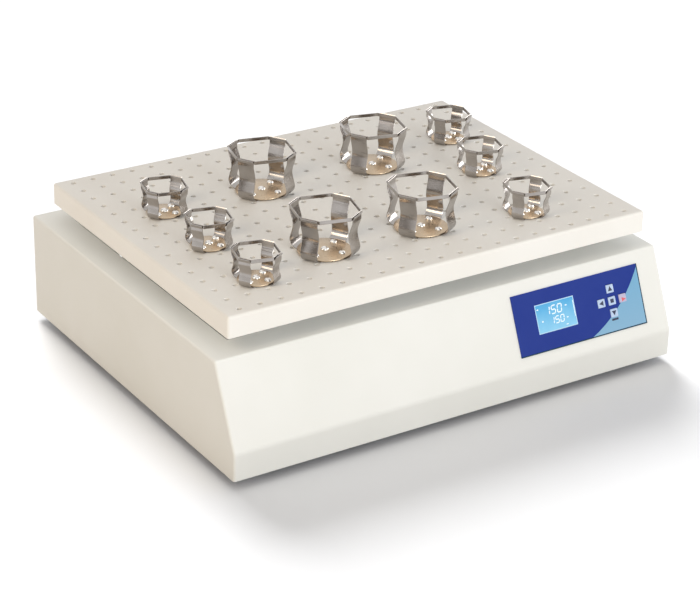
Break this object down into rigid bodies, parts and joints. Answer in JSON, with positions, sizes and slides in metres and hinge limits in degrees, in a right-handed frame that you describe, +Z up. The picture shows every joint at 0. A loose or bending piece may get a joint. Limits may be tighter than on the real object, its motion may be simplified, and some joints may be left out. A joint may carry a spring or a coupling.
{
  "type": "orbital shaker",
  "caption": "Bench orbital shaker: a perforated tray with sprung flask clamps circles on cranks over a low housing with a keypad and screen.",
  "frame": {"origin": "middle of the footprint at the level the feet stand on", "axes": "+X along the front towards the keypad, +Y from front to back, +Z up"},
  "size_m": [0.574, 0.473, 0.2275],
  "materials": {
    "housing_paint": "fine powder coat, satin",
    "tray_paint": "fine powder coat, satin",
    "clamp_steel": "polished stainless spring sheet",
    "panel_blue": "printed polyester film, semi-gloss",
    "screen": "clear lens over a lit display",
    "key_film": "matt moulded key",
    "circuit_board": "green solder mask",
    "black_plastic": "fine-grained moulding",
    "brass": "plated",
    "rubber": "matt",
    "bearing_steel": "ground",
    "cast_aluminium": "cast and turned",
    "zinc_sheet": "zinc-plated sheet",
    "motor_black": "black enamel"
  },
  "bodies": {
    "base": {"housing": "housing_paint", "deck_braces": "housing_paint", "base_plate": "zinc_sheet", "feet": "rubber", "foot_screws": "bearing_steel", "base_screws": "bearing_steel", "panel_fascia": "panel_blue", "screen_window": "screen", "screen_module": "black_plastic", "control_board": "circuit_board", "board_standoffs": "brass", "key_switches": "black_plastic", "spindle_housing": "cast_aluminium", "main_bearings": "bearing_steel", "support_pillars": "cast_aluminium", "support_bearings": "bearing_steel", "motor_bracket": "zinc_sheet", "motor": "motor_black", "drive_belt": "rubber", "power_supply": "zinc_sheet", "driver_board": "circuit_board", "heat_sink": "cast_aluminium", "power_inlet": "black_plastic", "inlet_pins": "brass", "fuse_holder": "black_plastic", "switch_frame": "black_plastic"},
    "crank": {"main_crank": "bearing_steel", "counterweight": "bearing_steel", "driven_pulley": "cast_aluminium"},
    "rotor": {"motor_shaft": "bearing_steel", "motor_pulley": "cast_aluminium"},
    "tray_carriage": {"carriage": "cast_aluminium", "carriage_bearings": "bearing_steel", "tray_posts": "cast_aluminium", "post_screws": "bearing_steel", "tray": "tray_paint", "large_clamp_1": "clamp_steel", "large_clamp_2": "clamp_steel", "large_clamp_3": "clamp_steel", "large_clamp_4": "clamp_steel", "small_clamp_1": "clamp_steel", "small_clamp_2": "clamp_steel", "small_clamp_3": "clamp_steel", "small_clamp_4": "clamp_steel", "small_clamp_5": "clamp_steel", "small_clamp_6": "clamp_steel", "large_clamp_rings": "clamp_steel", "small_clamp_rings": "clamp_steel", "clamp_rivets": "clamp_steel", "clamp_screws": "clamp_steel"},
    "rocker": {"switch_rocker": "black_plastic"},
    "key_up": {"key_up": "key_film"},
    "key_left": {"key_left": "key_film"},
    "key_centre": {"key_centre": "key_film"},
    "key_right": {"key_right": "key_film"},
    "key_down": {"key_down": "key_film"},
    "support_crank_1": {"support_crank_1": "bearing_steel"},
    "support_crank_2": {"support_crank_2": "bearing_steel"},
    "support_crank_3": {"support_crank_3": "bearing_steel"},
    "support_crank_4": {"support_crank_4": "bearing_steel"}
  },
  "joints": [
    {"name": "main_crank_spin", "type": "hinge", "parent": "base", "child": "crank", "pos_m": [0, 0.0155, 0.094], "axis": [0, 0, 1], "continuous": true},
    {"name": "tray_orbit", "type": "hinge", "parent": "crank", "child": "tray_carriage", "pos_m": [0, 0.0055, 0.124], "axis": [0, 0, 1], "continuous": true},
    {"name": "motor_spin", "type": "hinge", "parent": "base", "child": "rotor", "pos_m": [-0.135, 0.0155, 0.077], "axis": [0, 0, 1], "continuous": true},
    {"name": "support_crank_1_spin", "type": "hinge", "parent": "base", "child": "support_crank_1", "pos_m": [-0.19, -0.0995, 0.1], "axis": [0, 0, 1], "continuous": true},
    {"name": "support_crank_2_spin", "type": "hinge", "parent": "base", "child": "support_crank_2", "pos_m": [0.19, -0.0995, 0.1], "axis": [0, 0, 1], "continuous": true},
    {"name": "support_crank_3_spin", "type": "hinge", "parent": "base", "child": "support_crank_3", "pos_m": [-0.19, 0.1305, 0.1], "axis": [0, 0, 1], "continuous": true},
    {"name": "support_crank_4_spin", "type": "hinge", "parent": "base", "child": "support_crank_4", "pos_m": [0.19, 0.1305, 0.1], "axis": [0, 0, 1], "continuous": true},
    {"name": "key_up_press", "type": "slide", "parent": "base", "child": "key_up", "axis": [0, 0.9138, -0.4061], "range_m": [0, 0.0008], "stiffness_N_per_m": 400},
    {"name": "key_left_press", "type": "slide", "parent": "base", "child": "key_left", "axis": [0, 0.9138, -0.4061], "range_m": [0, 0.0008], "stiffness_N_per_m": 400},
    {"name": "key_centre_press", "type": "slide", "parent": "base", "child": "key_centre", "axis": [0, 0.9138, -0.4061], "range_m": [0, 0.0008], "stiffness_N_per_m": 400},
    {"name": "key_right_press", "type": "slide", "parent": "base", "child": "key_right", "axis": [0, 0.9138, -0.4061], "range_m": [0, 0.0008], "stiffness_N_per_m": 400},
    {"name": "key_down_press", "type": "slide", "parent": "base", "child": "key_down", "axis": [0, 0.9138, -0.4061], "range_m": [0, 0.0008], "stiffness_N_per_m": 400},
    {"name": "power_rocker", "type": "hinge", "parent": "base", "child": "rocker", "pos_m": [0.14, 0.227, 0.066], "axis": [1, 0, 0], "range_deg": [0, 18]}
  ],
  "couplings": [
    {"joint": "tray_orbit", "follows": "main_crank_spin", "ratio": -1},
    {"joint": "motor_spin", "follows": "main_crank_spin", "ratio": 3.8889},
    {"joint": "support_crank_1_spin", "follows": "main_crank_spin", "ratio": 1},
    {"joint": "support_crank_2_spin", "follows": "main_crank_spin", "ratio": 1},
    {"joint": "support_crank_3_spin", "follows": "main_crank_spin", "ratio": 1},
    {"joint": "support_crank_4_spin", "follows": "main_crank_spin", "ratio": 1}
  ]
}
